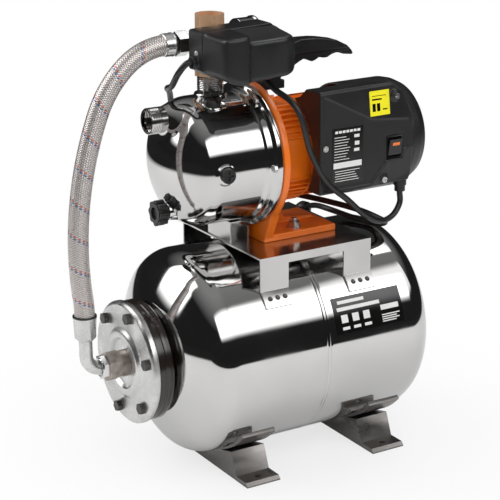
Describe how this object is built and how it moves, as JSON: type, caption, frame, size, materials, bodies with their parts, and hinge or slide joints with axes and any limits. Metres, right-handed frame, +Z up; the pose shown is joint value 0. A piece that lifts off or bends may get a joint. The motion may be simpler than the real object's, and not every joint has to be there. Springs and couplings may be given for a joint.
{
  "type": "shallow well jet pump set",
  "caption": "Stainless jet pump with electric motor, carried on a horizontal stainless pressure tank with feet, linked by a braided hose and run by a pressure switch.",
  "frame": {"origin": "on the floor, midway between the four foot holes", "axes": "+X along the tank from its flange toward the motor fan end, +Z up, front of the set with the pressure switch facing -Y"},
  "size_m": [0.5216, 0.2714, 0.594],
  "materials": {
    "mirror_steel": "polished stainless",
    "dark_enamel": "dark gloss enamel",
    "black_rubber": "matt",
    "zinc_steel": "bright zinc plate",
    "dark_steel": "dark oxide",
    "raw_casting": "rough cast",
    "foot_steel": "dull rolled steel",
    "sheet_steel": "bright sheet",
    "brass": "machined",
    "chrome_plate": "polished",
    "hose_braid": "woven wire over rubber",
    "black_plastic": "fine texture",
    "moulded_plastic": "glass filled",
    "ceramic": "ceramic ring",
    "orange_paint": "satin powder coat",
    "core_steel": "laminated",
    "copper": "enamelled wire",
    "shaft_steel": "ground",
    "cover_plastic": "fine texture",
    "gloss_black": "gloss",
    "switch_plastic": "satin",
    "dial_white": "printed",
    "clear": "clear",
    "handle_plastic": "satin",
    "cable_sheath": "satin"
  },
  "bodies": {
    "set": {"tank_shell": "mirror_steel", "tank_neck_ring": "dark_enamel", "tank_membrane": "black_rubber", "tank_flange": "zinc_steel", "tank_flange_bolts": "dark_steel", "tank_nipple": "raw_casting", "tank_feet": "foot_steel", "pump_platform": "sheet_steel", "casing_support": "sheet_steel", "air_valve_body": "brass", "elbow_nut": "chrome_plate", "hose_elbow": "zinc_steel", "hose_ferrules": "zinc_steel", "braided_hose": "hose_braid", "hose_upper_nut": "chrome_plate", "pump_casing": "mirror_steel", "suction_socket": "zinc_steel", "outlet_nipple": "mirror_steel", "casing_bolts": "zinc_steel", "seal_plate": "sheet_steel", "ejector": "moulded_plastic", "diffuser": "moulded_plastic", "seal_seat": "ceramic", "motor_adapter": "orange_paint", "motor_housing": "orange_paint", "stator_core": "core_steel", "stator_windings": "copper", "motor_bearings": "shaft_steel", "rear_shield": "orange_paint", "motor_cover": "cover_plastic", "rocker_bezel": "gloss_black", "cover_screws": "zinc_steel", "base_bolts": "zinc_steel", "cable_gland": "black_plastic", "five_way_fitting": "brass", "switch_base": "switch_plastic", "switch_cover": "switch_plastic", "gauge_case": "chrome_plate", "gauge_dial": "dial_white", "gauge_window": "clear", "carry_handle": "handle_plastic", "switch_cable": "cable_sheath", "mains_cable": "cable_sheath"},
    "rotor": {"impeller": "sheet_steel", "seal_rotor": "black_rubber", "rotor_core": "core_steel", "motor_shaft": "shaft_steel", "cooling_fan": "black_plastic"},
    "rocker": {"switch_rocker": "gloss_black"},
    "filler_seal": {"filler_plug_seal": "black_rubber"},
    "filler": {"filler_plug": "black_plastic"},
    "side_seal": {"side_plug_seal": "black_rubber"},
    "side": {"side_plug": "black_plastic"},
    "drain_seal": {"drain_knob_seal": "black_rubber"},
    "drain": {"drain_knob": "black_plastic"},
    "pointer": {"gauge_pointer": "gloss_black"},
    "valve_pin": {"air_valve_core": "brass"},
    "valve_cap": {"air_valve_cap": "black_plastic"},
    "piston": {"switch_piston": "shaft_steel"},
    "lever": {"contact_lever": "brass"}
  },
  "joints": [
    {"name": "rotor_spin", "type": "hinge", "parent": "set", "child": "rotor", "pos_m": [0.0375, 0, 0.41], "axis": [1, 0, 0], "continuous": true},
    {"name": "rocker_tilt", "type": "hinge", "parent": "set", "child": "rocker", "pos_m": [0.1115, -0.0925, 0.415], "axis": [1, 0, 0], "range_deg": [0, 16]},
    {"name": "filler_lift", "type": "slide", "parent": "set", "child": "filler_seal", "axis": [0, -0.342, 0.9397], "range_m": [0, 0.012]},
    {"name": "filler_turn", "type": "hinge", "parent": "filler_seal", "child": "filler", "pos_m": [-0.1205, -0.02839, 0.48799], "axis": [0, -0.342, 0.9397], "range_deg": [0, 2160]},
    {"name": "side_plug_lift", "type": "slide", "parent": "set", "child": "side_seal", "axis": [0, -1, 0], "range_m": [0, 0.0105]},
    {"name": "side_plug_turn", "type": "hinge", "parent": "side_seal", "child": "side", "pos_m": [-0.1325, -0.083, 0.41], "axis": [0, -1, 0], "range_deg": [0, 2520]},
    {"name": "drain_lift", "type": "slide", "parent": "set", "child": "drain_seal", "axis": [-1, 0, 0], "range_m": [0, 0.012]},
    {"name": "drain_turn", "type": "hinge", "parent": "drain_seal", "child": "drain", "pos_m": [-0.173, 0, 0.35], "axis": [-1, 0, 0], "range_deg": [0, 2880]},
    {"name": "pointer_swing", "type": "hinge", "parent": "set", "child": "pointer", "pos_m": [-0.0525, 0, 0.561], "axis": [-1, 0, 0], "range_deg": [0, 270]},
    {"name": "valve_pin_press", "type": "slide", "parent": "set", "child": "valve_pin", "axis": [-1, 0, 0], "range_m": [0, 0.0015]},
    {"name": "valve_cap_draw", "type": "slide", "parent": "set", "child": "valve_cap", "axis": [1, 0, 0], "range_m": [0, 0.03]},
    {"name": "piston_push", "type": "slide", "parent": "set", "child": "piston", "axis": [0, -1, 0], "range_m": [0, 0.0015]},
    {"name": "lever_tilt", "type": "hinge", "parent": "set", "child": "lever", "pos_m": [-0.0725, -0.054, 0.556], "axis": [0, 0, 1], "range_deg": [0, 2.6]}
  ],
  "couplings": [
    {"joint": "filler_lift", "follows": "filler_turn", "m_per_rad": 0.00031831},
    {"joint": "side_plug_lift", "follows": "side_plug_turn", "m_per_rad": 0.00023873},
    {"joint": "drain_lift", "follows": "drain_turn", "m_per_rad": 0.00023873},
    {"joint": "lever_tilt", "follows": "piston_push", "rad_per_m": 30.2}
  ]
}
